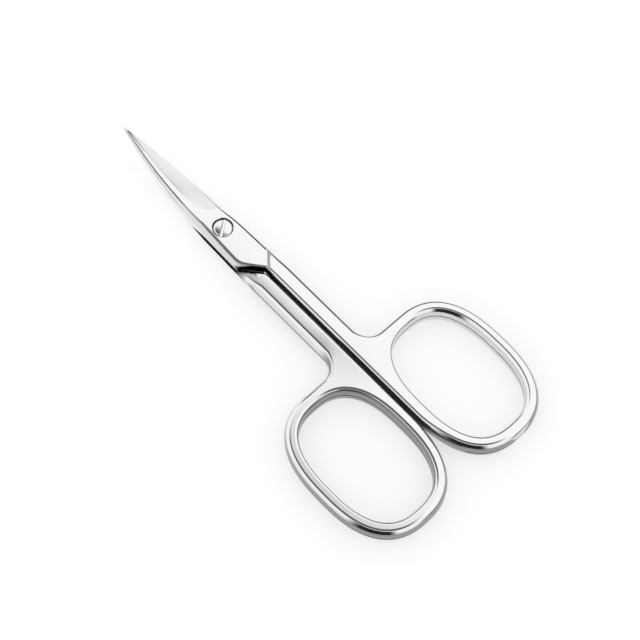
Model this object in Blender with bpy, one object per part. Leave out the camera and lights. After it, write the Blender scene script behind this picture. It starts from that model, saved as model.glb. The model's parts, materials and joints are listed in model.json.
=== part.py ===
"""Nail scissors: two forged steel halves that turn on a slotted pivot screw.

The scissors lie closed and flat. +X points to the blade tips, +Y to the lower half's bow and
+Z up, to the side of the screw's head. Z is zero on the table and X is zero halfway along.

Each half is drawn once, in its own frame: the pivot is at the origin, the handle lies on +Y,
the mating face is near z = 0 and the outer face is up. The upper half is that shape mirrored
in Y, the lower half the same shape mirrored in Z, so one is the other turned over.
"""

import math

import bmesh
import bpy
from mathutils import Matrix, Vector

MM = 0.001

# Reach of the two ends from the pivot
TIP_REACH = 26.8 * MM
BOW_REACH = 62.7 * MM

# Handle: shank, web and bow
HANDLE_THICKNESS = 4.0 * MM
HANDLE_GAP = 0.42 * MM
SHANK_WIDTH = 3.52 * MM
SHANK_ROUND = 1.0 * MM
EDGE_ROUND = 0.42 * MM
NECK_RADIUS = 3.0 * MM
BOW_WIDTH = 2.42 * MM
BOW_OUTER_ROUND = 1.04 * MM
BOW_INNER_ROUND = 0.58 * MM
BOW_PARTING = math.radians(35.0)
HOLE_LENGTH = 24.6 * MM
HOLE_WIDTH = 16.4 * MM
HOLE_SQUARENESS = 2.6
EDGE_SQUARENESS = 6.0
SHANK_SQUARENESS = 2.0
BOW_SQUARENESS = 1.25

# Joint: the flat where the halves cross, and the slanted faces that end it
JOINT_DROP = 0.3 * MM
JOINT_HALF_WIDTH = 3.2 * MM
JOINT_SPINE_WIDTH = 2.62 * MM
JOINT_ROUND = 0.42 * MM
JOINT_SWELL = 0.38 * MM
SWELL_FADE = 4.5 * MM
SWELL_END = 1.2 * MM
SWELL_RUNOUT = 3.8 * MM
SWELL_HEIGHT_SHARE = 0.4
MATING_GAP = 0.2 * MM
SHOULDER_ANGLE = math.radians(40.8)
SHOULDER_REACH = 11.96 * MM
SHOULDER_FLARE = 4.0 * MM
SHOULDER_CORNER_ROUND = 0.15 * MM
STEP_LEAD = 0.46 * MM
HEEL_LEAD = 0.96 * MM
HEEL_CORNER_ROUND = 0.6 * MM
PLATE_TUCK = 0.15 * MM
PLATE_ROOT = 1.6 * MM

# Blade: it bends up, tapers to the tip and has a hollow ground along its cutting edge
BEND_START = 4.0 * MM
BEND_RISE = 2.9 * MM
BLADE_HALF_WIDTH = 2.98 * MM
BLADE_START = 2.0 * MM
BLADE_TAPER_POWER = 1.15
CUTTING_CURVE_START = 3.0 * MM
CUTTING_CURVE_POWER = 2.0
SPINE_TAPER = 0.8 * MM
SPINE_CURVE_POWER = 4.0
SPINE_ROUND = 0.38 * MM
SPINE_ROUND_MOST_SHARE = 0.25
TIP_HALF_WIDTH = 0.12 * MM
TIP_THICKNESS = 0.3 * MM
EDGE_THICKNESS = 0.14 * MM
EDGE_BREAK = 0.03 * MM
HOLLOW_START = 3.4 * MM
HOLLOW_RUNOUT = 4.6 * MM
HOLLOW_WIDTH_SHARE = 0.8
HOLLOW_TIP_SHARE = 0.5
HOLLOW_POWER = 0.85
HOLLOW_LEAST_SHARE = 0.05

# Pivot screw and its holes
HEAD_DIAMETER = 3.5 * MM
HEAD_RISE = 0.2 * MM
HEAD_EDGE_ROUND = 0.2 * MM
COUNTERBORE_DIAMETER = 3.84 * MM
COUNTERBORE_DEPTH = 0.85 * MM
SEAT_GAP = 0.1 * MM
STEM_DIAMETER = 2.2 * MM
STEM_CHAMFER = 0.15 * MM
STEM_CLEARANCE = 0.1 * MM
SLOT_WIDTH = 0.5 * MM
SLOT_DEPTH = 0.5 * MM
SLOT_ANGLE = math.radians(-54.0)

OVERRUN = 5.0 * MM

# Resolution, as counts
LEVELS = 4
BOW_STEPS = 44
HOLE_STEPS = 48
NECK_STEPS = 7
FLARE_STEPS = 6
WALL_STEPS = 4
FACE_STEPS = 6
HOLLOW_ROWS = 4
BLADE_STEPS = 11
TURN_STEPS = 48
DOME_STEPS = 4

# Where along the heel and the hollow's run-out the blade's cross-sections stand
HEEL_STATION_SHARES = (0.35, 0.6, 0.75, 0.85, 0.93)
RUNOUT_STATION_SHARES = (0.04, 0.15, 0.35, 0.65)

STEEL_COLOUR = (0.82, 0.82, 0.83, 1.0)
STEEL_ROUGHNESS = 0.12
SCREW_COLOUR = (0.74, 0.74, 0.76, 1.0)
SCREW_ROUGHNESS = 0.2
SHARP_ANGLE = math.radians(35.0)

# A corner of an outline whose two sides turn less than this stays on one smooth curve
CORNER_COSINE = 0.9

HALF_HEIGHT = HANDLE_THICKNESS / 2
JOINT_TOP = HALF_HEIGHT - JOINT_DROP
JOINT_THICKNESS = JOINT_TOP - MATING_GAP / 2
GAP_SIDE = HANDLE_GAP / 2
OUTER_SIDE = GAP_SIDE + SHANK_WIDTH
HOLE_X = -(BOW_REACH - BOW_WIDTH - HOLE_LENGTH / 2)
HOLE_Y = GAP_SIDE + BOW_WIDTH + HOLE_WIDTH / 2
SLANT = math.tan(SHOULDER_ANGLE)
ROOT_X = OUTER_SIDE / SLANT - SHOULDER_REACH
STEP_X = STEP_LEAD - SHOULDER_REACH
HEEL_X = HEEL_LEAD - SHOULDER_REACH
ORIGIN = Vector(((BOW_REACH - TIP_REACH) / 2, 0.0, HALF_HEIGHT))

# How far an edge is rounded on the outer and on the mating side, and how square it stays
EDGE = (EDGE_ROUND, EDGE_ROUND, EDGE_SQUARENESS)
BOW = (BOW_OUTER_ROUND, BOW_OUTER_ROUND, BOW_SQUARENESS)
SHANK = (SHANK_ROUND, SHANK_ROUND, SHANK_SQUARENESS)
FLARE = (SHANK_ROUND, SHOULDER_CORNER_ROUND, SHANK_SQUARENESS)


def clamp(value):
    return max(0.0, min(1.0, value))


def ease(value):
    """Goes from 0 to 1 with a level start and end."""
    value = clamp(value)
    return value * value * (3 - 2 * value)


def mix(first, second, share):
    return tuple(a + (b - a) * share for a, b in zip(first, second))


def soft_min(first, second, blend):
    """The smaller of two lengths, with the corner between them rounded."""
    return (first + second - math.hypot(first - second, blend)) / 2


# The handle

def hole_point(angle, distance):
    """A point of the finger hole's outline, moved outward by a distance, and its normal."""
    cosine, sine = math.cos(angle), math.sin(angle)
    power = HOLE_SQUARENESS
    size = (abs(cosine) ** power + abs(sine) ** power) ** (-1 / power)
    x = HOLE_LENGTH / 2 * size * cosine
    y = HOLE_WIDTH / 2 * size * sine
    normal = Vector((
        math.copysign(abs(size * cosine) ** (power - 1), cosine) / HOLE_LENGTH,
        math.copysign(abs(size * sine) ** (power - 1), sine) / HOLE_WIDTH,
    )).normalized()
    return Vector((HOLE_X + x, HOLE_Y + y)) + normal * distance, normal


def slant_x(start, y):
    """X of a slanted face at a distance from the centre line."""
    return start + y / SLANT


def handle_outline():
    """The handle at mid-thickness, round from the front of its gap side.

    Returns its points, each with the rounding of the edge that follows it.
    """
    outline = []
    gap_start = slant_x(STEP_X, GAP_SIDE)
    outline.append((Vector((gap_start, GAP_SIDE)), EDGE))
    outline.append((Vector(((gap_start + HOLE_X) / 2, GAP_SIDE)), EDGE))

    start, end = math.radians(-90.0), math.radians(-360.0)
    for step in range(BOW_STEPS + 1):
        angle = start + (end - start) * step / BOW_STEPS
        point, _normal = hole_point(angle, BOW_WIDTH)
        outline.append((point, mix(EDGE, BOW, ease((start - angle) / BOW_PARTING))))

    centre = Vector((outline[-1][0].x + NECK_RADIUS, OUTER_SIDE + NECK_RADIUS))
    first, last = math.radians(180.0), math.radians(270.0)
    for step in range(NECK_STEPS + 1):
        share = step / NECK_STEPS
        angle = first + (last - first) * share
        point = centre + NECK_RADIUS * Vector((math.cos(angle), math.sin(angle)))
        outline.append((point, mix(BOW, SHANK, share)))

    corner = slant_x(STEP_X, OUTER_SIDE)
    flare_end = corner - SHANK_ROUND / SLANT - EDGE_ROUND / math.sin(SHOULDER_ANGLE) - EDGE_ROUND
    for step in range(FLARE_STEPS + 1):
        share = step / FLARE_STEPS
        x = flare_end - SHOULDER_FLARE * (1 - share)
        outline.append((Vector((x, OUTER_SIDE)), mix(SHANK, FLARE, ease(share))))
    outline.append((Vector((corner, OUTER_SIDE)), EDGE))
    return outline


def rounding_depth(section, level):
    """How far an edge is set in at a level, from -1 on the mating side to 1 on the outer."""
    outer, mating, power = section
    depth = outer if level > 0 else mating
    height = min(1.0, abs(level))
    return depth * (1 - (1 - height ** power) ** (1 / power))


def inset_outline(outline, level):
    """The outline at a level, each edge set in by its own depth, corners kept sharp."""
    count = len(outline)
    inward = []
    for index in range(count):
        run = outline[(index + 1) % count][0] - outline[index][0]
        inward.append(Vector((run.y, -run.x)).normalized())
    points = []
    for index in range(count):
        before, after = inward[index - 1], inward[index]
        depth_before = rounding_depth(outline[index - 1][1], level)
        depth_after = rounding_depth(outline[index][1], level)
        cosine = before.dot(after)
        if cosine > CORNER_COSINE:
            depth = (depth_before + depth_after) / 2
            move = (before + after) * depth / (1 + cosine)
        else:
            cross = before.x * after.y - before.y * after.x
            move = Vector((
                (depth_before * after.y - depth_after * before.y) / cross,
                (depth_after * before.x - depth_before * after.x) / cross,
            ))
        points.append(outline[index][0] + move)
    return points


def add_walls(bm, rings):
    """Joins a stack of closed rings of vertices with quads."""
    for lower, upper in zip(rings, rings[1:]):
        for index in range(len(lower)):
            other = (index + 1) % len(lower)
            bm.faces.new((lower[index], lower[other], upper[other], upper[index]))


def ring_edges(bm, ring):
    return [bm.edges.get((ring[index - 1], ring[index])) for index in range(len(ring))]


def make_handle(name, flip):
    """Shank, web and bow at full thickness, with the finger hole through them."""
    bm = bmesh.new()
    outline = handle_outline()
    outer_rings = []
    hole_rings = []
    for step in range(-LEVELS, LEVELS + 1):
        level = math.sin(math.radians(90.0) * step / LEVELS)
        z = HALF_HEIGHT * level
        points = inset_outline(outline, level)
        outer_rings.append([bm.verts.new((point.x, point.y, z)) for point in points])
        depth = BOW_INNER_ROUND * (1 - math.sqrt(max(0.0, 1 - level * level)))
        hole_ring = []
        for turn in range(HOLE_STEPS):
            point, _normal = hole_point(math.tau * turn / HOLE_STEPS, depth)
            hole_ring.append(bm.verts.new((point.x, point.y, z)))
        hole_rings.append(hole_ring)
    add_walls(bm, outer_rings)
    add_walls(bm, hole_rings)
    for end in (0, -1):
        rim = ring_edges(bm, outer_rings[end]) + ring_edges(bm, hole_rings[end])
        bmesh.ops.triangle_fill(bm, use_beauty=True, edges=rim, normal=(0, 0, 1))
    return finish_mesh(name, bm, flip)


# The joint plate and the blade

def bend(x, y, direction):
    """Rise of the mating face: a surface turned about the pivot, flat behind BEND_START."""
    radius = math.hypot(x, y)
    if x < 0 or radius < BEND_START:
        return 0.0
    share = (radius - BEND_START) / (TIP_REACH - BEND_START)
    return direction * BEND_RISE * share * share


def cutting_side(x):
    """Distance from the centre line to the mating edge on the handle side, the cutting edge."""
    along = clamp((x - ROOT_X) / (CUTTING_CURVE_START - ROOT_X))
    width = JOINT_HALF_WIDTH + (BLADE_HALF_WIDTH - JOINT_HALF_WIDTH) * along
    share = clamp((x - CUTTING_CURVE_START) / (TIP_REACH - CUTTING_CURVE_START))
    return TIP_HALF_WIDTH + (width - TIP_HALF_WIDTH) * (1 - share ** CUTTING_CURVE_POWER)


def joint_swell(x):
    """How far the joint's side bulges past its mating edge, from the shank to the blade."""
    full = OUTER_SIDE - PLATE_TUCK - cutting_side(x)
    swell = full + (JOINT_SWELL - full) * ease((x - ROOT_X) / SWELL_FADE)
    return swell * (1 - ease((x - SWELL_END) / SWELL_RUNOUT))


def spine_side(x):
    """Distance from the centre line to the spine, or to the slanted heel behind it."""
    share = clamp(x / TIP_REACH)
    width = JOINT_SPINE_WIDTH - SPINE_TAPER * x / TIP_REACH
    spine = TIP_HALF_WIDTH + (width - TIP_HALF_WIDTH) * (1 - share ** SPINE_CURVE_POWER)
    heel = (x - HEEL_X) * SLANT
    buried = -(GAP_SIDE + EDGE_ROUND)
    return max(buried, soft_min(heel, spine, HEEL_CORNER_ROUND))


def blade_thickness(x):
    share = clamp((x - BLADE_START) / (TIP_REACH - BLADE_START))
    return JOINT_THICKNESS + (TIP_THICKNESS - JOINT_THICKNESS) * share ** BLADE_TAPER_POWER


def hollow_width_share(x):
    """Share of the blade's width that the hollow takes: a curved run-out, then a taper."""
    into = clamp((x - HOLLOW_START) / HOLLOW_RUNOUT)
    runout = math.sqrt(1 - (1 - into) ** 2)
    along = clamp((x - HOLLOW_START - HOLLOW_RUNOUT) / (TIP_REACH - HOLLOW_START - HOLLOW_RUNOUT))
    full = HOLLOW_WIDTH_SHARE + (HOLLOW_TIP_SHARE - HOLLOW_WIDTH_SHARE) * along * along
    return full * runout


def local_thickness(x, share):
    """Thickness at a share of the width, from 0 at the spine to 1 at the cutting edge."""
    thickness = blade_thickness(x)
    width = hollow_width_share(x)
    if width <= 0 or share <= 1 - width:
        return thickness
    across = (share - 1 + width) / width
    reached = clamp(width / HOLLOW_WIDTH_SHARE) if x < HOLLOW_START + HOLLOW_RUNOUT else 1.0
    return thickness + (EDGE_THICKNESS - thickness) * reached * across ** HOLLOW_POWER


def blade_section(x, direction):
    """One cross-section of the plate or blade, round from the spine along the mating face."""
    spine, cutting = -spine_side(x), cutting_side(x)
    edge_thickness = local_thickness(x, 1.0)
    spine_round = min(SPINE_ROUND, (cutting - spine) * SPINE_ROUND_MOST_SHARE)
    relative = clamp((edge_thickness - EDGE_THICKNESS) / (JOINT_THICKNESS - EDGE_THICKNESS))
    cutting_round = JOINT_ROUND * relative + EDGE_BREAK * (1 - relative)
    swell = joint_swell(x)
    swell_height = edge_thickness * SWELL_HEIGHT_SHARE
    base = bend(x, cutting, direction) + MATING_GAP / 2
    section = []
    for step in range(FACE_STEPS + 1):
        y = spine + (cutting - spine) * step / FACE_STEPS
        section.append((y, bend(x, y, direction) + MATING_GAP / 2))
    for step in range(WALL_STEPS + 1):
        turn = math.radians(90.0) * step / WALL_STEPS
        y = cutting - cutting_round + (swell + cutting_round) * math.cos(turn)
        height = swell_height + (edge_thickness - swell_height) * math.sin(turn)
        section.append((y, base + height))
    face_start, face_end = cutting - cutting_round, spine + spine_round
    ridge = max(HOLLOW_LEAST_SHARE, hollow_width_share(x))
    for step in range(1, FACE_STEPS):
        if step <= HOLLOW_ROWS:
            share = ridge * step / HOLLOW_ROWS
        else:
            share = ridge + (1 - ridge) * (step - HOLLOW_ROWS) / (FACE_STEPS - HOLLOW_ROWS)
        y = face_start + (face_end - face_start) * share
        base = bend(x, y, direction) + MATING_GAP / 2
        section.append((y, base + local_thickness(x, 1 - share)))
    for step in range(WALL_STEPS):
        turn = math.radians(90.0) * (1 - step / WALL_STEPS)
        y = spine + spine_round * (1 - math.cos(turn))
        base = bend(x, spine, direction) + MATING_GAP / 2
        section.append((y, base + blade_thickness(x) * math.sin(turn)))
    return section


def blade_stations():
    """X of the cross-sections: buried root, slanted heel, joint, hollow run-out, blade."""
    root = slant_x(STEP_X, GAP_SIDE) - PLATE_ROOT
    buried = HEEL_X - (GAP_SIDE + EDGE_ROUND) / SLANT
    corner = HEEL_X + JOINT_SPINE_WIDTH / SLANT
    stations = [root, buried]
    stations += [buried + (corner - buried) * share for share in HEEL_STATION_SHARES]
    stations += [corner, corner + HEEL_CORNER_ROUND / 2, corner + HEEL_CORNER_ROUND]
    stations += [corner / 2, 0.0, BLADE_START, HOLLOW_START]
    stations += [HOLLOW_START + HOLLOW_RUNOUT * share for share in RUNOUT_STATION_SHARES]
    first = HOLLOW_START + HOLLOW_RUNOUT
    for step in range(BLADE_STEPS + 1):
        stations.append(first + (TIP_REACH - first) * step / BLADE_STEPS)
    return stations


def make_blade(name, flip, direction):
    """The joint plate and the blade, one loft along X."""
    bm = bmesh.new()
    rings = []
    for x in blade_stations():
        rings.append([bm.verts.new((x, y, z)) for y, z in blade_section(x, direction)])
    add_walls(bm, rings)
    for end in (0, -1):
        bm.faces.new(rings[end])
    return finish_mesh(name, bm, flip)


# Cutters and the screw

def make_prism(name, corners, bottom, top, flip):
    bm = bmesh.new()
    rings = [[bm.verts.new((x, y, z)) for x, y in corners] for z in (bottom, top)]
    add_walls(bm, rings)
    for ring in rings:
        bm.faces.new(ring)
    return finish_mesh(name, bm, flip)


def make_shoulder_cutter(name, flip):
    """Clears the mating side of the handle ahead of its slanted shoulder."""
    near, far = -OVERRUN, OUTER_SIDE + OVERRUN
    corners = [
        (slant_x(-SHOULDER_REACH, near), near),
        (slant_x(-SHOULDER_REACH, far), far),
        (slant_x(-SHOULDER_REACH, far) + OVERRUN, far),
        (slant_x(-SHOULDER_REACH, far) + OVERRUN, near),
    ]
    return make_prism(name, corners, -HALF_HEIGHT - OVERRUN, MATING_GAP, flip)


def make_turned(name, profile):
    """A round piece turned about the pivot, from (radius, z) points, bottom to top."""
    bm = bmesh.new()
    rings = []
    for radius, z in profile[1:-1]:
        ring = []
        for step in range(TURN_STEPS):
            angle = math.tau * step / TURN_STEPS
            ring.append(bm.verts.new((radius * math.cos(angle), radius * math.sin(angle), z)))
        rings.append(ring)
    add_walls(bm, rings)
    for ring, (_radius, z) in ((rings[0], profile[0]), (rings[-1], profile[-1])):
        centre = bm.verts.new((0.0, 0.0, z))
        for index in range(TURN_STEPS):
            bm.faces.new((ring[index - 1], ring[index], centre))
    return finish_mesh(name, bm, (1, 1, 1))


def make_screw():
    """Head with a low dome, shoulder and stem in one, its end flush with the lower half."""
    seat = JOINT_TOP - COUNTERBORE_DEPTH + SEAT_GAP
    head, stem = HEAD_DIAMETER / 2, STEM_DIAMETER / 2
    profile = [
        (0.0, -JOINT_TOP),
        (stem - STEM_CHAMFER, -JOINT_TOP),
        (stem, -JOINT_TOP + STEM_CHAMFER),
        (stem, seat),
        (head, seat),
        (head, JOINT_TOP - HEAD_EDGE_ROUND),
        (head - HEAD_EDGE_ROUND, JOINT_TOP),
    ]
    flat = head - HEAD_EDGE_ROUND
    for step in range(1, DOME_STEPS + 1):
        radius = flat * (1 - step / DOME_STEPS)
        profile.append((radius, JOINT_TOP + HEAD_RISE * (1 - (radius / flat) ** 2)))
    return make_turned("pivot_screw", profile)


def make_slot_cutter():
    half_length, half_width = HEAD_DIAMETER / 2 + OVERRUN, SLOT_WIDTH / 2
    turn = Matrix.Rotation(SLOT_ANGLE, 2)
    corners = []
    for along, across in ((-1, -1), (1, -1), (1, 1), (-1, 1)):
        corners.append(turn @ Vector((along * half_length, across * half_width)))
    floor = JOINT_TOP + HEAD_RISE - SLOT_DEPTH
    return make_prism("slot_cutter", corners, floor, floor + OVERRUN, (1, 1, 1))


def make_hole_cutters():
    """The counterbore and clearance hole of the upper half, and the lower half's hole."""
    hole = STEM_DIAMETER / 2 + STEM_CLEARANCE
    floor = JOINT_TOP - COUNTERBORE_DEPTH
    wide = COUNTERBORE_DIAMETER / 2
    top, bottom = HALF_HEIGHT + OVERRUN, -HALF_HEIGHT - OVERRUN
    upper = make_turned("upper_hole_cutter", [
        (0.0, bottom), (hole, bottom), (hole, floor), (wide, floor), (wide, top), (0.0, top),
    ])
    lower = make_turned("lower_hole_cutter", [
        (0.0, bottom), (hole, bottom), (hole, top), (0.0, top),
    ])
    return upper, lower


# Objects

def finish_mesh(name, bm, flip):
    """Mirrors the shape into place, moves it to the part's origin and makes its object."""
    bmesh.ops.transform(bm, matrix=Matrix.Diagonal((*flip, 1)), verts=bm.verts)
    bmesh.ops.translate(bm, vec=ORIGIN, verts=bm.verts)
    bmesh.ops.recalc_face_normals(bm, faces=bm.faces)
    mesh = bpy.data.meshes.new(name)
    bm.to_mesh(mesh)
    bm.free()
    mesh.shade_smooth()
    mesh.set_sharp_from_angle(angle=SHARP_ANGLE)
    shape = bpy.data.objects.new(name, mesh)
    bpy.context.scene.collection.objects.link(shape)
    return shape


def hide_tool(shape):
    shape.hide_render = True
    shape.display_type = "WIRE"


def add_boolean(shape, operation, tool):
    hide_tool(tool)
    modifier = shape.modifiers.new(tool.name, "BOOLEAN")
    modifier.operation = operation
    modifier.solver = "EXACT"
    modifier.object = tool


def move_origin_to_pivot(shape):
    """Puts an object's origin on the pivot axis, its shape left in place."""
    pivot = Vector((ORIGIN.x, ORIGIN.y, ORIGIN.z))
    shape.data.transform(Matrix.Translation(-pivot))
    shape.location = pivot


def make_steel(name, colour, roughness):
    material = bpy.data.materials.new(name)
    material.use_nodes = True
    shader = material.node_tree.nodes["Principled BSDF"]
    shader.inputs["Base Color"].default_value = colour
    shader.inputs["Metallic"].default_value = 1.0
    shader.inputs["Roughness"].default_value = roughness
    return material


def make_half(name, flip, direction, hole_cutter):
    half = make_handle(name, flip)
    add_boolean(half, "DIFFERENCE", make_shoulder_cutter(name + "_shoulder_cutter", flip))
    add_boolean(half, "UNION", make_blade(name + "_blade_blank", flip, direction))
    add_boolean(half, "DIFFERENCE", hole_cutter)
    half.data.materials.append(make_steel(name + "_steel", STEEL_COLOUR, STEEL_ROUGHNESS))
    move_origin_to_pivot(half)


def build():
    for old in list(bpy.data.objects):
        bpy.data.objects.remove(old)
    upper_hole, lower_hole = make_hole_cutters()
    make_half("upper_half", (1, -1, 1), 1, upper_hole)
    make_half("lower_half", (1, 1, -1), -1, lower_hole)
    screw = make_screw()
    add_boolean(screw, "DIFFERENCE", make_slot_cutter())
    screw.data.materials.append(make_steel("screw_steel", SCREW_COLOUR, SCREW_ROUGHNESS))
    move_origin_to_pivot(screw)


build()
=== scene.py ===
"""Studio scene of the nail scissors: polished steel halves and a slotted screw on white.

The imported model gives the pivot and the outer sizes. Each half is drawn in its own frame: the
pivot at the origin, the blade along +X, the handle behind it on the +Y side, the mating face near
z = 0 and the outer face up. The upper half is that shape mirrored in Y, the lower half the same
shape mirrored in Z. A direction is 1 for the upper half and -1 for the lower: its mirroring in Z.
"""

import json
import math

import bmesh
import bpy
from mathutils import Matrix, Vector
from mathutils.geometry import delaunay_2d_cdt


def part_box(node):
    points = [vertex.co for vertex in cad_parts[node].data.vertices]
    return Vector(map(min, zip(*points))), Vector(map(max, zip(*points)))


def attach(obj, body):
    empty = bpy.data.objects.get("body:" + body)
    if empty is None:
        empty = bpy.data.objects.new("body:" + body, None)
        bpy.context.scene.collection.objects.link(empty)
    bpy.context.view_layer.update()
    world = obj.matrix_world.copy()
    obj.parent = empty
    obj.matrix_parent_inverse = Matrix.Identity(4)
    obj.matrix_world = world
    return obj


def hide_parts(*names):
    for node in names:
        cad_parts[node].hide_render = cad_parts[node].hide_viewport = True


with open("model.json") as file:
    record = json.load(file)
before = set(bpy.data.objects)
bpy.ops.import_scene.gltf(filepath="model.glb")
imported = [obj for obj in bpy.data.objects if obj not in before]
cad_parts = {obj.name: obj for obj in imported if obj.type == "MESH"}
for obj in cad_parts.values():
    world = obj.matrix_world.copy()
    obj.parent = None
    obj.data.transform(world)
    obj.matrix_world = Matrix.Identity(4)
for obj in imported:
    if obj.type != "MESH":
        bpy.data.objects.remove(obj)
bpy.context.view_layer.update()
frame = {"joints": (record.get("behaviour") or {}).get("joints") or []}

MM = 0.001

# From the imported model
PIVOT = Vector(frame["joints"][0]["pos_m"])
UPPER_LOW, UPPER_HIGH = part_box("upper_half")
TIP_REACH = UPPER_HIGH.x - PIVOT.x
BOW_REACH = PIVOT.x - UPPER_LOW.x
HALF_HEIGHT = PIVOT.z

# How a shape is mirrored from its own frame into place, in X, Y and Z
UPPER_FLIP = (1, -1, 1)
LOWER_FLIP = (1, 1, -1)
NO_FLIP = (1, 1, 1)

# Handle: shank, web and bow
HANDLE_GAP = 0.42 * MM
SHANK_WIDTH = 3.52 * MM
NECK_RADIUS = 3.0 * MM
BOW_WIDTH = 2.42 * MM
BOW_PARTING = math.radians(35.0)
HOLE_LENGTH = 24.6 * MM
HOLE_WIDTH = 16.4 * MM
HOLE_SQUARENESS = 2.6
OUTER_CROWN = 0.02 * MM
MATING_CROWN = 0.12 * MM
CROWN_START = -33.0 * MM
CROWN_RUN = 5.0 * MM
WEB_FALL = 0.06 * MM
MATING_WEB_FALL = 2 * WEB_FALL
WEB_CENTRE = -33.0 * MM
WEB_REACH = 11.0 * MM
WEB_SPAN = 7.0 * MM
BEVEL_BLEND = 0.25

# Small triangles that fill a broad face, and how close two points may be, in millimetres
CAP_SPACING = 0.45 * MM
CAP_RIM = 0.08 * MM
CAP_TOLERANCE = 1e-7

# Joint: the flat where the halves cross, and the slanted faces that end it
JOINT_DROP = 0.3 * MM
JOINT_HALF_WIDTH = 3.2 * MM
JOINT_SPINE_WIDTH = 2.8 * MM
JOINT_ROUND = 0.8 * MM
JOINT_SWELL = 0.38 * MM
SWELL_FADE = 4.5 * MM
SWELL_END = 0.5 * MM
SWELL_RUNOUT = 5.5 * MM
SWELL_HEIGHT_SHARE = 0.4
SWELL_SQUARENESS = 1.35
ROUND_POWER = 2.0
MATING_GAP = 0.05 * MM
SHOULDER_ANGLE = math.radians(40.8)
SHOULDER_REACH = 11.96 * MM
SHOULDER_FLARE = 3.4 * MM
SHOULDER_CLEAR = 3.2 * MM
SHOULDER_BEVEL = 0.85 * MM
SHOULDER_BEVEL_DROP = 0.9 * MM
SHOULDER_EDGE_ROUND = 0.3 * MM
SHOULDER_EDGE_DROP = 0.2 * MM
STEP_LEAD = 0.46 * MM
HEEL_LEAD = 1.16 * MM
HEEL_CORNER_ROUND = 0.6 * MM
PLATE_TUCK = 0.15 * MM
PLATE_ROOT = 1.6 * MM
PLATE_GAP_SIDE = 0.1 * MM

# Blade: it bends up, tapers to the tip and has a hollow ground along its cutting edge
BEND_START = 4.0 * MM
BEND_RISE = 2.9 * MM
BLADE_HALF_WIDTH = 2.98 * MM
BLADE_START = 2.0 * MM
BLADE_TAPER_POWER = 1.15
CUTTING_CURVE_START = 3.0 * MM
CUTTING_CURVE_POWER = 2.0
SPINE_TAPER = 1.4 * MM
BLADE_SHIFT = 0.25 * MM
SHIFT_STARTS = {1: -2.0 * MM, -1: 1.0 * MM}
SHIFT_RISE = 6.0 * MM
SHIFT_TURN = 14.0 * MM
SPINE_CURVE_POWER = 4.0
SPINE_LEAN = 0.46 * MM
SPINE_BEVEL = 0.21 * MM
SPINE_BEVEL_DROP = 0.075 * MM
SPINE_CORNER = 0.03 * MM
SPINE_LEAN_MOST_SHARE = 0.25
TIP_HALF_WIDTH = 0.12 * MM
TIP_THICKNESS = 0.3 * MM
EDGE_THICKNESS = 0.1 * MM
EDGE_BREAK = 0.03 * MM
HOLLOW_START = 3.4 * MM
HOLLOW_RUNOUT = 4.6 * MM
HOLLOW_DEEPENING = 9.0 * MM
HOLLOW_WIDTH_SHARE = 0.8
HOLLOW_TIP_SHARE = 0.85
HOLLOW_POWER = 0.85
HOLLOW_LEAST_SHARE = 0.05

# Marks on the surfaces, which the steel's material reads: painted shade, painted light, satin and
# the ground hollow. Where each starts and ends in a half's own frame, and how strong it is
GROUND = "ground"
PAINTED_SHADE = "painted_shade"
SATIN = "satin"
HOLE_PAINTED_LIGHT = "hole"
MARKS = (GROUND, PAINTED_SHADE, SATIN, HOLE_PAINTED_LIGHT)
FLUSH = 0.02 * MM
HAIR = 0.001 * MM

# The ground hollow of the blade
GROUND_FADE = 0.9 * MM

# The lower part of the joint's bulging side, darkened by painted shade
SIDE_START = -10.2 * MM
SIDE_FADE = 0.1 * MM
SIDE_HEIGHT_SHARES = {1: 0.35, -1: 0.7}
SWELL_LEAST = 0.02 * MM

# The plate's wall along its spine: satin, and darkened by painted shade towards the heel, lowest part
# first
WALL_START = -13.0 * MM
CORNER_START = -6.0 * MM
CORNER_END = -8.6 * MM
CORNER_FADE = 0.2

# The chamfer over that wall, a dark line of painted reflection that fades out on the blade
LINE_START = 9.0 * MM
LINE_FADE = 3.0 * MM

# The ledge of the mating face that the other half leaves bare: satin, painted shade towards the heel
LEDGE = 2.2 * MM
LEDGE_FADE = 0.3 * MM
LEDGE_START = -6.2 * MM
LEDGE_END = -7.4 * MM

# The slanted shoulder under the joint and its foot, darkened by painted shade down to a level, and
# painted shade on the step above it
GAP_CORNER = 0.7 * MM
SHOULDER_LOW = -1.97 * MM
SHOULDER_DEPTH = 1.4 * MM
OVERLAP = 0.6 * MM
STEP_END = -6.5 * MM
STEP_SHADE = 0.6

# The wall of the upper half's finger hole, lightened by painted light, and the edges of the
# screw's slot, darkened by painted shade
HOLE_SURROUND_SHARE = 0.6
SLOT_SHADE = 0.8

# Pivot screw and its holes
HEAD_DIAMETER = 3.5 * MM
HEAD_RISE = 0.07 * MM
HEAD_EDGE_ROUND = 0.42 * MM
COUNTERBORE_DIAMETER = 3.84 * MM
COUNTERBORE_DEPTH = 0.85 * MM
RIM_BREAK = 0.05 * MM
SEAT_GAP = 0.1 * MM
STEM_DIAMETER = 2.2 * MM
STEM_CHAMFER = 0.15 * MM
STEM_CLEARANCE = 0.1 * MM
SLOT_WIDTH = 0.5 * MM
SLOT_DEPTH = 0.36 * MM
SLOT_ANGLE = math.radians(-54.0)
SLOT_EDGE_BREAK = 0.07 * MM

# How far cutters reach past what they cut
OVERRUN = 5.0 * MM

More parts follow.
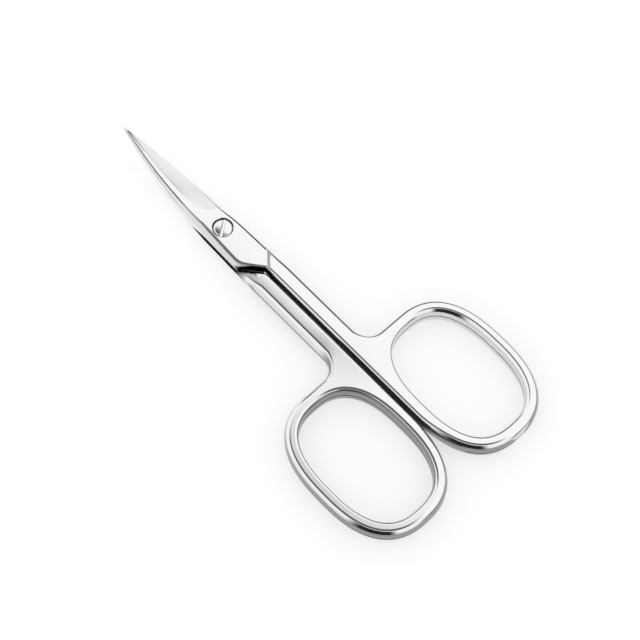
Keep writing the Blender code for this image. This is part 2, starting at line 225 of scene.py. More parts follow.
# Resolution, as counts
LEVELS = 20
LEVEL_POWER = 2.6
SHANK_STEPS = 60
BOW_STEPS = 180
HOLE_STEPS = 200
NECK_STEPS = 24
FLARE_STEPS = 16
WALL_STEPS = 14
CORNER_STEPS = 4
SPINE_STEPS = 10
BEVEL_STEPS = 3
FACET_STEPS = 6
FACE_STEPS = 32
HOLLOW_ROWS = 22
HEEL_STATIONS = 26
JOINT_STATIONS = 24
RUNOUT_STATIONS = 22
BLADE_STATIONS = 60
TURN_STEPS = 96
DOME_STEPS = 14
ROUND_STEPS = 12

# Over this angle an edge between faces is sharp, under this cosine a corner of an outline is
SHARP_ANGLE = math.radians(30.0)
CORNER_COSINE = 0.9

# Worked out from the sizes above
JOINT_TOP = HALF_HEIGHT - JOINT_DROP
JOINT_THICKNESS = JOINT_TOP - MATING_GAP / 2
GAP_SIDE = HANDLE_GAP / 2
OUTER_SIDE = GAP_SIDE + SHANK_WIDTH
HOLE_X = -(BOW_REACH - BOW_WIDTH - HOLE_LENGTH / 2)
HOLE_Y = GAP_SIDE + BOW_WIDTH + HOLE_WIDTH / 2
SLANT = math.tan(SHOULDER_ANGLE)
ROOT_X = OUTER_SIDE / SLANT - SHOULDER_REACH
STEP_X = STEP_LEAD - SHOULDER_REACH
HEEL_X = HEEL_LEAD - SHOULDER_REACH

# The corners of a square, in turn
SQUARE = ((-1, -1), (1, -1), (1, 1), (-1, 1))

# The edge of a broad face: the width and drop of a thin chamfer, those of a bevel below it, then
# the depth of the side's rounding and how square that is. TOWARD is an edge that faces the
# viewer in the photo, AWAY the one across from it
TOWARD = (0.16 * MM, 0.05 * MM, 0.55 * MM, 0.62 * MM, 0.33 * MM, 2.2)
AWAY = (0.0, 0.1 * MM, 0.26 * MM, 0.16 * MM, 0.78 * MM, 1.8)
HOLE_TOWARD = (0.16 * MM, 0.05 * MM, 0.6 * MM, 0.6 * MM, 0.08 * MM, 2.2)
HOLE_STEEP = (0.34 * MM, 0.1 * MM, 0.4 * MM, 0.8 * MM, 0.1 * MM, 2.2)
HOLE_AWAY = (0.0, 0.1 * MM, 0.24 * MM, 0.15 * MM, 0.34 * MM, 2.0)

# An edge on the outer side, then the same edge on the mating side
NECK = AWAY + (0.22 * MM, 0.07 * MM, 0.4 * MM, 1.0 * MM, 0.1 * MM, 2.2)
GAP_EDGE = (
    0.2 * MM, 0.06 * MM, 0.32 * MM, 0.36 * MM, 0.05 * MM, 2.0,
    0.0, 0.1 * MM, 0.0, 0.5 * MM, 0.8 * MM, 2.6,
)
BOW_NEAR = TOWARD + AWAY
BOW_FAR = AWAY + TOWARD
HOLE_NEAR = HOLE_AWAY + HOLE_STEEP
HOLE_FAR = HOLE_TOWARD + HOLE_AWAY
SHANK = (
    0.0, 0.1 * MM, 0.34 * MM, 0.28 * MM, 0.9 * MM, 1.5,
    0.2 * MM, 0.07 * MM, 0.0, 0.5 * MM, 0.98 * MM, 1.5,
)
FLARE = (
    0.0, 0.1 * MM, 0.34 * MM, 0.28 * MM, 1.15 * MM, 1.5,
    0.0, 0.08 * MM, 0.0, 0.5 * MM, 0.5 * MM, 2.4,
)
SHOULDER = (
    0.0, 0.1 * MM, 0.6 * MM, 0.36 * MM, 0.1 * MM, 3.0,
    0.0, 0.1 * MM, 0.0, 0.5 * MM, 0.42 * MM, 6.0,
)


def clamp(value):
    return max(0.0, min(1.0, value))


def ease(value):
    """Goes from 0 to 1 with a level start and end."""
    value = clamp(value)
    return value * value * (3 - 2 * value)


def mix(first, second, share):
    return tuple(a + (b - a) * share for a, b in zip(first, second))


def soft_min(first, second, blend):
    """The smaller of two lengths, with the corner between them rounded."""
    return (first + second - math.hypot(first - second, blend)) / 2


# Mesh building

class Shell:
    """Collects the points and faces of one closed shape."""

    def __init__(self):
        self.points = []
        self.faces = []

    def ring(self, points):
        first = len(self.points)
        self.points.extend(Vector(point) for point in points)
        return list(range(first, len(self.points)))

    def walls(self, rings):
        """Joins a stack of closed rings with quads."""
        for lower, upper in zip(rings, rings[1:]):
            for index in range(len(lower)):
                other = (index + 1) % len(lower)
                self.faces.append((lower[index], lower[other], upper[other], upper[index]))

    def fan(self, ring, centre):
        middle = self.ring([centre])[0]
        for index in range(len(ring)):
            self.faces.append((ring[index - 1], ring[index], middle))

    def make(self, name, flip):
        """Mirrors the shape into place, moves it to the pivot and makes its object."""
        mesh = bpy.data.meshes.new(name)
        scale = Vector(flip)
        placed = [PIVOT + point * scale for point in self.points]
        mesh.from_pydata(placed, [], self.faces)
        make_faces_point_out(mesh)
        shape = bpy.data.objects.new(name, mesh)
        bpy.context.scene.collection.objects.link(shape)
        return shape


def make_faces_point_out(mesh):
    bm = bmesh.new()
    bm.from_mesh(mesh)
    bmesh.ops.recalc_face_normals(bm, faces=bm.faces)
    bm.to_mesh(mesh)
    bm.free()


def cut(shape, operation, tool):
    modifier = shape.modifiers.new(tool.name, "BOOLEAN")
    modifier.operation = operation
    modifier.solver = "MANIFOLD"
    modifier.object = tool


def settle(shape):
    """Applies the shape's modifiers and smooths its shading, save at sharp edges."""
    tools = [modifier.object for modifier in shape.modifiers]
    bpy.context.view_layer.update()
    graph = bpy.context.evaluated_depsgraph_get()
    mesh = bpy.data.meshes.new_from_object(shape.evaluated_get(graph))
    shape.modifiers.clear()
    shape.data = mesh
    mesh.name = shape.name
    mesh.materials.clear()
    mesh.polygons.foreach_set("material_index", [0] * len(mesh.polygons))
    for tool in tools:
        bpy.data.objects.remove(tool)
    mesh.shade_smooth()
    mesh.set_sharp_from_angle(angle=SHARP_ANGLE)


# The handle

def hole_point(angle, distance):
    """A point of the finger hole's outline, moved outward by a distance."""
    cosine, sine = math.cos(angle), math.sin(angle)
    power = HOLE_SQUARENESS
    size = (abs(cosine) ** power + abs(sine) ** power) ** (-1 / power)
    x = HOLE_LENGTH / 2 * size * cosine
    y = HOLE_WIDTH / 2 * size * sine
    normal = Vector((
        math.copysign(abs(size * cosine) ** (power - 1), cosine) / HOLE_LENGTH,
        math.copysign(abs(size * sine) ** (power - 1), sine) / HOLE_WIDTH,
    )).normalized()
    return Vector((HOLE_X + x, HOLE_Y + y)) + normal * distance


def far_share(angle):
    """From 0 on a bow's side along the gap to 1 on the side away from it."""
    return ease((math.sin(angle) + 1) / 2)


def slant_x(start, y):
    """X of a slanted face at a distance from the centre line."""
    return start + y / SLANT


def gap_outline():
    """The straight side along the gap, from the step to the bow."""
    start = slant_x(STEP_X, GAP_SIDE)
    outline = []
    for step in range(SHANK_STEPS):
        x = start + (HOLE_X - start) * step / SHANK_STEPS
        outline.append((Vector((x, GAP_SIDE)), GAP_EDGE))
    return outline


def bow_outline():
    """Round the bow, from the gap to the neck."""
    start, end = math.radians(-90.0), math.radians(-360.0)
    outline = []
    for step in range(BOW_STEPS + 1):
        angle = start + (end - start) * step / BOW_STEPS
        section = mix(BOW_NEAR, BOW_FAR, far_share(angle))
        section = mix(GAP_EDGE, section, ease((start - angle) / BOW_PARTING))
        outline.append((hole_point(angle, BOW_WIDTH), section))
    return outline


def neck_outline(bow_end, bow_section):
    """The hollow corner between the bow and the shank."""
    centre = Vector((bow_end.x + NECK_RADIUS, OUTER_SIDE + NECK_RADIUS))
    start, end = math.radians(180.0), math.radians(270.0)
    outline = []
    for step in range(1, NECK_STEPS + 1):
        share = step / NECK_STEPS
        angle = start + (end - start) * share
        point = centre + NECK_RADIUS * Vector((math.cos(angle), math.sin(angle)))
        along = mix(bow_section, SHANK, share)
        outline.append((point, mix(along, NECK, math.sin(math.pi * share))))
    return outline


def shank_outline(start):
    """The straight outer side, from the neck over the flare to the corner at the shoulder."""
    corner = slant_x(STEP_X, OUTER_SIDE)
    flare_end = corner - SHOULDER_CLEAR
    flare_start = flare_end - SHOULDER_FLARE
    outline = []
    for step in range(1, SHANK_STEPS):
        x = start + (flare_start - start) * step / SHANK_STEPS
        outline.append((Vector((x, OUTER_SIDE)), SHANK))
    for step in range(FLARE_STEPS + 1):
        share = step / FLARE_STEPS
        x = flare_start + SHOULDER_FLARE * share
        outline.append((Vector((x, OUTER_SIDE)), mix(SHANK, FLARE, ease(share))))
    outline.append((Vector((corner, OUTER_SIDE)), SHOULDER))
    return outline


def handle_outline():
    """The handle at mid-thickness, each point with the rounding of the edge that follows it."""
    outline = gap_outline() + bow_outline()
    outline += neck_outline(*outline[-1])
    return outline + shank_outline(outline[-1][0].x)


def ramp_down(down, drop):
    """From 1 at a face to 0 at a drop under it and below, with the corner there rounded."""
    share = 1 - down / drop
    return (share + math.hypot(share, BEVEL_BLEND)) / 2


def rounding_depth(section, level):
    """How far an edge is set in at a level, from -1 on the mating side to 1 on the outer."""
    chamfer, chamfer_drop, bevel, drop, depth, power = section[:6] if level > 0 else section[6:]
    height = min(1.0, abs(level))
    down = (1 - height) * HALF_HEIGHT
    flat = chamfer * ramp_down(down, chamfer_drop) + bevel * ramp_down(down, drop)
    return flat + depth * (1 - (1 - height ** power) ** (1 / power))


def inset_outline(outline, level, rim):
    """The outline at a level, each edge set in by its own depth and a rim, corners kept sharp."""
    count = len(outline)
    inward = []
    for index in range(count):
        run = outline[(index + 1) % count][0] - outline[index][0]
        inward.append(Vector((run.y, -run.x)).normalized())
    points = []
    for index in range(count):
        before, after = inward[index - 1], inward[index]
        depth_before = rounding_depth(outline[index - 1][1], level) + rim
        depth_after = rounding_depth(outline[index][1], level) + rim
        cosine = before.dot(after)
        if cosine > CORNER_COSINE:
            depth = (depth_before + depth_after) / 2
            move = (before + after) * depth / (1 + cosine)
        else:
            cross = before.x * after.y - before.y * after.x
            move = Vector((
                (depth_before * after.y - depth_after * before.y) / cross,
                (depth_after * before.x - depth_before * after.x) / cross,
            ))
        points.append(outline[index][0] + move)
    return points


def crown(x, y, level):
    """How far a broad face lies under full height: by its crown on the shank, its fall on the web."""
    most = OUTER_CROWN if level > 0 else MATING_CROWN
    across = clamp((y - GAP_SIDE) / SHANK_WIDTH)
    along = ease((x - CROWN_START) / CROWN_RUN)
    web = ease(1 - abs(x - WEB_CENTRE) / WEB_REACH)
    near_gap = (1 - clamp((y - GAP_SIDE) / WEB_SPAN)) ** 2
    if level > 0:
        return most * across * across * along + WEB_FALL * web * near_gap
    return most * across * across * along + MATING_WEB_FALL * web * (1 - near_gap)


def handle_point(point, level):
    lift = HALF_HEIGHT - crown(point.x, point.y, level)
    return Vector((point.x, point.y, level * lift))


def is_inside(point, outline):
    """Whether a flat point is inside a closed outline."""
    inside = False
    for index in range(len(outline)):
        first, second = outline[index - 1], outline[index]
        if (first.y > point.y) != (second.y > point.y):
            crossing = first.x + (point.y - first.y) * (second.x - first.x) / (second.y - first.y)
            if point.x < crossing:
                inside = not inside
    return inside


def cap_grid(outer, hole):
    """Points of an even grid inside a broad face, clear of its edges."""
    low_x, high_x = min(p.x for p in outer), max(p.x for p in outer)
    low_y, high_y = min(p.y for p in outer), max(p.y for p in outer)
    border = outer + hole
    clear = CAP_SPACING / 2
    grid = []
    for row in range(int((high_y - low_y) / CAP_SPACING)):
        for column in range(int((high_x - low_x) / CAP_SPACING)):
            shift = CAP_SPACING / 2 * (row % 2)
            point = Vector((
                low_x + CAP_SPACING * column + shift,
                low_y + CAP_SPACING * (row + 1),
            ))
            if not is_inside(point, outer) or is_inside(point, hole):
                continue
            if min((point - other).length_squared for other in border) > clear * clear:
                grid.append(point)
    return grid


def add_cap(shell, outer_ring, hole_ring, level):
    """Fills a broad face between its outline and the finger hole with small triangles."""
    outer = [Vector(shell.points[index][:2]) for index in outer_ring]
    hole = [Vector(shell.points[index][:2]) for index in hole_ring]
    grid = cap_grid(outer, hole)
    edges = []
    for first, ring in ((0, outer), (len(outer), hole)):
        count = len(ring)
        edges += [(first + index, first + (index + 1) % count) for index in range(count)]
    flat = [point / MM for point in outer + hole + grid]
    points, _, faces, sources = delaunay_2d_cdt(flat, edges, [], 0, CAP_TOLERANCE)[:4]
    numbers = list(outer_ring) + list(hole_ring)
    numbers += shell.ring([handle_point(point, level) for point in grid])
    places = [numbers[source[0]] for source in sources]
    for face in faces:
        middle = sum((points[index] for index in face), Vector((0.0, 0.0))) / len(face) * MM
        if is_inside(middle, outer) and not is_inside(middle, hole):
            shell.faces.append(tuple(places[index] for index in face))


def level_shares():
    """Heights of the handle's rings, close together where its edges are round."""
    upper = [1 - (1 - step / LEVELS) ** LEVEL_POWER for step in range(1, LEVELS + 1)]
    return [-share for share in reversed(upper)] + [0.0] + upper


def make_handle(name, flip):
    """Shank, web and bow at full thickness, with the finger hole through them."""
    shell = Shell()
    outline = handle_outline()
    outer_rings = []
    hole_rings = []
    levels = [(level, 0.0) for level in level_shares()]
    for level, rim in [(-1.0, CAP_RIM)] + levels + [(1.0, CAP_RIM)]:
        points = inset_outline(outline, level, rim)
        outer_rings.append(shell.ring([handle_point(point, level) for point in points]))
        hole = []
        for turn in range(HOLE_STEPS):
            angle = math.tau * turn / HOLE_STEPS
            section = mix(HOLE_NEAR, HOLE_FAR, far_share(angle))
            hole.append(hole_point(angle, rounding_depth(section, level) + rim))
        hole_rings.append(shell.ring([handle_point(point, level) for point in hole]))
    shell.walls(outer_rings)
    shell.walls(hole_rings)
    for end, level in ((0, -1.0), (-1, 1.0)):
        add_cap(shell, outer_rings[end], hole_rings[end], level)
    return shell.make(name, flip)


# The joint plate and the blade

def bend(x, y, direction):
    """Rise of the mating face: a surface turned about the pivot, flat behind BEND_START."""
    radius = math.hypot(x, y)
    if x < 0 or radius < BEND_START:
        return 0.0
    share = (radius - BEND_START) / (TIP_REACH - BEND_START)
    return direction * BEND_RISE * share * share


def cutting_side(x, direction):
    """Distance from the centre line to the mating edge on the handle side, the cutting edge."""
    shift = BLADE_SHIFT * ease((x - SHIFT_STARTS[direction]) / SHIFT_RISE)
    shift *= 1 - ease((x - SHIFT_TURN) / (TIP_REACH - SHIFT_TURN))
    along = clamp((x - ROOT_X) / (CUTTING_CURVE_START - ROOT_X))
    width = JOINT_HALF_WIDTH + (BLADE_HALF_WIDTH - JOINT_HALF_WIDTH) * along
    share = clamp((x - CUTTING_CURVE_START) / (TIP_REACH - CUTTING_CURVE_START))
    side = TIP_HALF_WIDTH + (width - TIP_HALF_WIDTH) * (1 - share ** CUTTING_CURVE_POWER)
    return side - direction * shift


def joint_swell(x, direction):
    """How far the joint's side bulges past its mating edge, from the shank to the blade."""
    full = OUTER_SIDE - PLATE_TUCK - cutting_side(x, direction)
    swell = full + (JOINT_SWELL - full) * ease((x - ROOT_X) / SWELL_FADE)
    return swell * (1 - ease((x - SWELL_END) / SWELL_RUNOUT))


def spine_side(x):
    """Distance from the centre line to the spine, or to the slanted heel behind it."""
    share = clamp(x / TIP_REACH)
    width = JOINT_SPINE_WIDTH - SPINE_TAPER * x / TIP_REACH
    spine = TIP_HALF_WIDTH + (width - TIP_HALF_WIDTH) * (1 - share ** SPINE_CURVE_POWER)
    heel = (x - HEEL_X) * SLANT
    return max(-PLATE_GAP_SIDE, soft_min(heel, spine, HEEL_CORNER_ROUND))


def blade_thickness(x):
    share = clamp((x - BLADE_START) / (TIP_REACH - BLADE_START))
    return JOINT_THICKNESS + (TIP_THICKNESS - JOINT_THICKNESS) * share ** BLADE_TAPER_POWER


def hollow_width_share(x):
    """Share of the blade's width that the hollow takes: a curved run-out, then a taper."""
    into = clamp((x - HOLLOW_START) / HOLLOW_RUNOUT)
    runout = math.sqrt(1 - (1 - into) ** 2)
    along = clamp((x - HOLLOW_START - HOLLOW_RUNOUT) / (TIP_REACH - HOLLOW_START - HOLLOW_RUNOUT))
    full = HOLLOW_WIDTH_SHARE + (HOLLOW_TIP_SHARE - HOLLOW_WIDTH_SHARE) * along * along
    return full * runout


def local_thickness(x, share):
    """Thickness at a share of the width, from 0 at the spine to 1 at the cutting edge."""
    thickness = blade_thickness(x)
    width = hollow_width_share(x)
    if width <= 0 or share <= 1 - width:
        return thickness
    across = (share - 1 + width) / width
    reached = ease((x - HOLLOW_START) / HOLLOW_DEEPENING)
    return thickness + (EDGE_THICKNESS - thickness) * reached * across ** HOLLOW_POWER


def mating_height(x, y, direction):
    """Height of the face that lies on the other half."""
    return bend(x, y, direction) + MATING_GAP / 2


def wall_share(x):
    """From 1 where the cutting side is a full wall of the joint to 0 where it is a ground edge."""
    return clamp((local_thickness(x, 1.0) - EDGE_THICKNESS) / (JOINT_THICKNESS - EDGE_THICKNESS))


def cutting_inset(x):
    """How far the outer face starts from the mating edge on the cutting side."""
    full = wall_share(x)
    return JOINT_ROUND * full + EDGE_BREAK * (1 - full)


def spine_inset(x, direction):
    """How far the outer face ends from the mating edge along the spine."""
    width = cutting_side(x, direction) + spine_side(x)
    return min(SPINE_LEAN, width * SPINE_LEAN_MOST_SHARE)


def mating_points(x, direction):
    """Across the mating face, from the spine to the cutting side."""
    spine, cutting = -spine_side(x), cutting_side(x, direction)
    points = []
    for step in range(FACE_STEPS + 1):
        y = spine + (cutting - spine) * step / FACE_STEPS
        points.append(Vector((x, y, mating_height(x, y, direction))))
    return points


def cutting_points(x, direction):
    """Up the cutting side: out to the bulge, then round to the outer face."""
    cutting, swell = cutting_side(x, direction), joint_swell(x, direction)
    base = mating_height(x, cutting, direction)
    thickness = local_thickness(x, 1.0)
    swell_height = thickness * SWELL_HEIGHT_SHARE
    points = []
    for step in range(1, FACET_STEPS):
        share = step / FACET_STEPS
        points.append(Vector((x, cutting + swell * share, base + swell_height * share)))
    power = ROUND_POWER + (SWELL_SQUARENESS - ROUND_POWER) * wall_share(x)
    depth = swell + cutting_inset(x)
    rise = thickness - swell_height
    for step in range(WALL_STEPS + 1):
        height = 1 - (1 - step / WALL_STEPS) ** LEVEL_POWER
        inset = depth * (1 - (1 - height ** power) ** (1 / power))
        points.append(Vector((x, cutting + swell - inset, base + swell_height + rise * height)))
    return points


def outer_points(x, direction):
    """Back across the outer face, with the first rows in the hollow."""
    start = cutting_side(x, direction) - cutting_inset(x)
    end = spine_inset(x, direction) - spine_side(x)
    ridge = max(HOLLOW_LEAST_SHARE, hollow_width_share(x))
    points = []
    for step in range(1, FACE_STEPS):
        if step <= HOLLOW_ROWS:
            share = ridge * step / HOLLOW_ROWS
        else:
            share = ridge + (1 - ridge) * (step - HOLLOW_ROWS) / (FACE_STEPS - HOLLOW_ROWS)
        y = start + (end - start) * share
        points.append(Vector((x, y, mating_height(x, y, direction) + local_thickness(x, 1 - share))))
    return points


def spine_points(x, direction):
    """Down the spine: a chamfer, a small round corner and the wall, which leans out."""
    spine = -spine_side(x)
    base = mating_height(x, spine, direction)
    thickness = blade_thickness(x)
    inset = spine_inset(x, direction)
    narrowed = inset / SPINE_LEAN
    y = spine + inset
    bevel, drop = SPINE_BEVEL * narrowed, SPINE_BEVEL_DROP * thickness / JOINT_THICKNESS
    points = []
    for step in range(BEVEL_STEPS):
        share = step / BEVEL_STEPS
        points.append(Vector((x, y - bevel * share, base + thickness - drop * share)))
    y -= bevel
    top = thickness - drop
    corner = SPINE_CORNER * narrowed
    for step in range(CORNER_STEPS):
        turn = math.radians(90.0) * (1 - step / CORNER_STEPS)
        points.append(Vector((
            x, y - corner * math.cos(turn), base + top - corner * (1 - math.sin(turn)),
        )))
    y -= corner
    top -= corner
    for step in range(SPINE_STEPS):
        height = 1 - step / SPINE_STEPS
        points.append(Vector((x, spine + (y - spine) * height, base + top * height)))
    return points


def blade_section(x, direction):
    """One cross-section of the plate or blade, round from the spine along the mating face."""
    section = mating_points(x, direction) + cutting_points(x, direction)
    return section + outer_points(x, direction) + spine_points(x, direction)


def spread(first, last, count):
    """Evenly spaced values from the first up to, but not with, the last."""
    return [first + (last - first) * step / count for step in range(count)]


def blade_stations():
    """X of the cross-sections: buried root, slanted heel, joint, hollow run-out, blade."""
    root = slant_x(STEP_X, GAP_SIDE) - PLATE_ROOT
    heel_start = HEEL_X - PLATE_GAP_SIDE / SLANT
    corner_end = HEEL_X + JOINT_SPINE_WIDTH / SLANT + 2 * HEEL_CORNER_ROUND
    hollow_end = HOLLOW_START + HOLLOW_RUNOUT
    stations = [root] + spread(heel_start, corner_end, HEEL_STATIONS)
    stations += spread(corner_end, HOLLOW_START, JOINT_STATIONS)
    stations += [HOLLOW_START + HOLLOW_RUNOUT * (step / RUNOUT_STATIONS) ** 2
                 for step in range(RUNOUT_STATIONS)]
    stations += spread(hollow_end, TIP_REACH, BLADE_STATIONS)
    return stations + [TIP_REACH]


def make_blade(name, flip):
    """The joint plate and the blade, one loft along X."""
    shell = Shell()
    rings = [shell.ring(blade_section(x, flip[2])) for x in blade_stations()]
    shell.walls(rings)
    for end in (0, -1):
        shell.faces.append(tuple(rings[end]))
    return shell.make(name, flip)


# Cutters and the screw

def make_prism(name, sections, flip):
    """A prism from outlines at given heights, each (height, corners)."""
    shell = Shell()
    rings = [shell.ring([(x, y, z) for x, y in corners]) for z, corners in sections]
    shell.walls(rings)
    for end in (0, -1):
        shell.faces.append(tuple(rings[end]))
    return shell.make(name, flip)


def make_shoulder_cutter(name, flip):
    """Clears the mating side of the handle ahead of its slanted shoulder, its edge rounded."""
    near, far = -OVERRUN, OUTER_SIDE + OVERRUN
    bevel_top = -HALF_HEIGHT + SHOULDER_EDGE_DROP
    levels = [(MATING_GAP, 0.0), (bevel_top + SHOULDER_BEVEL_DROP, 0.0)]
    for step in range(ROUND_STEPS + 1):
        turn = math.radians(90.0) * step / ROUND_STEPS
        levels.append((
            bevel_top - SHOULDER_EDGE_DROP * math.sin(turn),
            SHOULDER_BEVEL + SHOULDER_EDGE_ROUND * (1 - math.cos(turn)),
        ))
    levels.append((-HALF_HEIGHT - OVERRUN, SHOULDER_BEVEL + SHOULDER_EDGE_ROUND))
    sections = []
    for z, back in reversed(levels):
        start = -SHOULDER_REACH - back
        front = slant_x(-SHOULDER_REACH, far) + OVERRUN
        sections.append((z, [
            (slant_x(start, near), near), (slant_x(start, far), far), (front, far), (front, near),
        ]))
    return make_prism(name, sections, flip)


def make_turned(name, profile):
    """A round piece turned about the pivot, from (radius, z) points, bottom to top."""
    shell = Shell()
    rings = []
    for radius, z in profile[1:-1]:
        turns = [math.tau * step / TURN_STEPS for step in range(TURN_STEPS)]
        rings.append(shell.ring([(radius * math.cos(a), radius * math.sin(a), z) for a in turns]))
    shell.walls(rings)
    shell.fan(rings[0], (0.0, 0.0, profile[0][1]))
    shell.fan(rings[-1], (0.0, 0.0, profile[-1][1]))
    return shell.make(name, NO_FLIP)


def make_screw_blank():
    """Head with a low dome, shoulder and stem in one, its end flush with the lower half."""
    seat = JOINT_TOP - COUNTERBORE_DEPTH + SEAT_GAP
    head, stem = HEAD_DIAMETER / 2, STEM_DIAMETER / 2
    flat = head - HEAD_EDGE_ROUND
    profile = [
        (0.0, -JOINT_TOP),
        (stem - STEM_CHAMFER, -JOINT_TOP),
        (stem, -JOINT_TOP + STEM_CHAMFER),
        (stem, seat),
        (head, seat),
    ]
    for step in range(ROUND_STEPS + 1):
        turn = math.radians(90.0) * step / ROUND_STEPS
        profile.append((
            flat + HEAD_EDGE_ROUND * math.cos(turn),
            JOINT_TOP - HEAD_EDGE_ROUND + HEAD_EDGE_ROUND * math.sin(turn),
        ))
    for step in range(1, DOME_STEPS + 1):
        radius = flat * (1 - step / DOME_STEPS)
        profile.append((radius, JOINT_TOP + HEAD_RISE * (1 - (radius / flat) ** 2)))
    return make_turned("pivot_screw_polished", profile)


def make_slot_cutter():
    """The screw's slot, with its edges broken."""
    half_length = HEAD_DIAMETER / 2 + OVERRUN
    turn = Matrix.Rotation(SLOT_ANGLE, 2)
    floor = JOINT_TOP + HEAD_RISE - SLOT_DEPTH
    edge = JOINT_TOP + HEAD_RISE - SLOT_EDGE_BREAK
    sections = []
    for z, half_width in (
        (floor, SLOT_WIDTH / 2),
        (edge, SLOT_WIDTH / 2),
        (edge + OVERRUN, SLOT_WIDTH / 2 + OVERRUN),
    ):
        corners = []
        for along, across in SQUARE:
            corners.append(turn @ Vector((along * half_length, across * half_width)))
        sections.append((z, corners))
    return make_prism("slot_cutter", sections, NO_FLIP)


def make_hole_cutters():
    """The counterbore and clearance hole of the upper half, and the lower half's hole."""
    hole = STEM_DIAMETER / 2 + STEM_CLEARANCE
    floor = JOINT_TOP - COUNTERBORE_DEPTH
    wide = COUNTERBORE_DIAMETER / 2
    top, bottom = HALF_HEIGHT + OVERRUN, -HALF_HEIGHT - OVERRUN
    rim = JOINT_TOP - RIM_BREAK
    upper = make_turned("upper_hole_cutter", [
        (0.0, bottom), (hole, bottom), (hole, floor), (wide, floor), (wide, rim),
        (wide + OVERRUN, rim + OVERRUN), (0.0, rim + OVERRUN),
    ])
    lower = make_turned("lower_hole_cutter", [
        (0.0, bottom), (hole + OVERRUN, -rim - OVERRUN), (hole, -rim), (hole, top), (0.0, top),
    ])
    return upper, lower


def make_screw():
    """The screw with its slot."""
    screw = make_screw_blank()
    cut(screw, "DIFFERENCE", make_slot_cutter())
    settle(screw)
    mark_slot(screw)
    return screw


def make_half(name, flip, hole_cutter):
    """One half: the handle with its shoulder cut, joined to the blade, with the screw's hole."""
    half = make_handle(name + "_polished", flip)
    cut(half, "DIFFERENCE", make_shoulder_cutter(name + "_shoulder_cutter", flip))
    cut(half, "UNION", make_blade(name + "_blade_blank", flip))
    cut(half, "DIFFERENCE", hole_cutter)
    settle(half)
    mark_half(half, flip)
    return half


# Marks

def blade_marks(x, y, risen, direction):
    """The marks of a point of the plate or blade at a height over the mating face's bend."""
    marks = {}
    cutting, spine = cutting_side(x, direction), -spine_side(x)
    thickness = blade_thickness(x)

    hollow = hollow_width_share(x) * (cutting - spine)
    if hollow > 0 and risen > EDGE_THICKNESS:
        marks[GROUND] = ease((y - cutting + hollow) / GROUND_FADE)

    # Painted shade on the lower part of the joint's bulging side
    side_top = thickness * SIDE_HEIGHT_SHARES[direction]
    if x > SIDE_START and 0 < risen < side_top and joint_swell(x, direction) > SWELL_LEAST:
        marks[PAINTED_SHADE] = ease((y - cutting) / SIDE_FADE)

    # Painted shade on the spine wall towards the heel, satin before it
    wall_top = thickness * (1 - SPINE_BEVEL_DROP / JOINT_THICKNESS) - HAIR
    if x > WALL_START and y < spine + SPINE_LEAN - SPINE_BEVEL and -FLUSH < risen < wall_top:
        black = (x - CORNER_START) / (CORNER_END - CORNER_START) - risen / wall_top
        marks[PAINTED_SHADE] = ease(black / CORNER_FADE)
        marks[SATIN] = 1 - marks[PAINTED_SHADE]

    # A dark line of painted reflection on the chamfer over the spine wall
    under_edge = spine + SPINE_LEAN - y
    if HAIR < under_edge < SPINE_BEVEL - HAIR and wall_top < risen < thickness - HAIR:
        marks[PAINTED_SHADE] = ease((LINE_START - x) / LINE_FADE)

    # Painted shade on the bare ledge towards the heel, satin before it
    if abs(risen) < MATING_GAP and y > LEDGE:
        black = ease((x - LEDGE_START) / (LEDGE_END - LEDGE_START))
        share = ease((y - LEDGE) / LEDGE_FADE)
        marks[PAINTED_SHADE] = share * black
        marks[SATIN] = share * (1 - black)
    return marks


def handle_marks(x, y, z, direction):
    """The marks of a point of the shoulder, its foot, the step or the finger hole."""
    marks = {}
    ahead = x - slant_x(-SHOULDER_REACH, y)
    # Painted shade at the foot of the slanted shoulder
    if abs(z) < MATING_GAP and -FLUSH < ahead < HEEL_LEAD + FLUSH:
        marks[PAINTED_SHADE] = 1.0
    # Painted shade on the slanted shoulder
    low = SHOULDER_LOW if y > GAP_CORNER else -HALF_HEIGHT - FLUSH
    if y > 0 and low < z < -MATING_GAP and -SHOULDER_DEPTH < ahead < OVERLAP:
        marks[PAINTED_SHADE] = 1.0
    # Painted shade on the step
    if x < STEP_END and JOINT_TOP + FLUSH < z < HALF_HEIGHT - FLUSH and ahead > -OVERLAP:
        marks[PAINTED_SHADE] = STEP_SHADE
    # Painted light on the wall of the upper half's finger hole
    reach = Vector(((x - HOLE_X) / HOLE_LENGTH, (y - HOLE_Y) / HOLE_WIDTH)).length
    if direction > 0 and reach < HOLE_SURROUND_SHARE:
        marks[HOLE_PAINTED_LIGHT] = 1.0
    return marks


def mark_half(half, flip):
    """Stores the marks of all points of a half. Those of the handle lie over the blade's."""
    for name in MARKS:
        half.data.attributes.new(name, "FLOAT", "POINT")
    layers = {name: half.data.attributes[name].data for name in MARKS}
    direction = flip[2]
    for vertex in half.data.vertices:
        x, y, z = (a * b for a, b in zip(vertex.co - PIVOT, flip))
        marks = blade_marks(x, y, z - bend(x, y, direction), direction)
        marks.update(handle_marks(x, y, z, direction))
        for name, share in marks.items():
            layers[name][vertex.index].value = share


def mark_slot(screw):
    """Darkens the edges of the screw's slot with painted shade."""
    painted_shade = screw.data.attributes.new(PAINTED_SHADE, "FLOAT", "POINT").data
    across = Vector((-math.sin(SLOT_ANGLE), math.cos(SLOT_ANGLE)))
    for vertex in screw.data.vertices:
        place = vertex.co - PIVOT
        aside = abs(place.xy.dot(across)) - SLOT_WIDTH / 2
        if place.z > JOINT_TOP + HEAD_RISE - SLOT_DEPTH + FLUSH and abs(aside) < FLUSH:
            painted_shade[vertex.index].value = SLOT_SHADE


# Materials

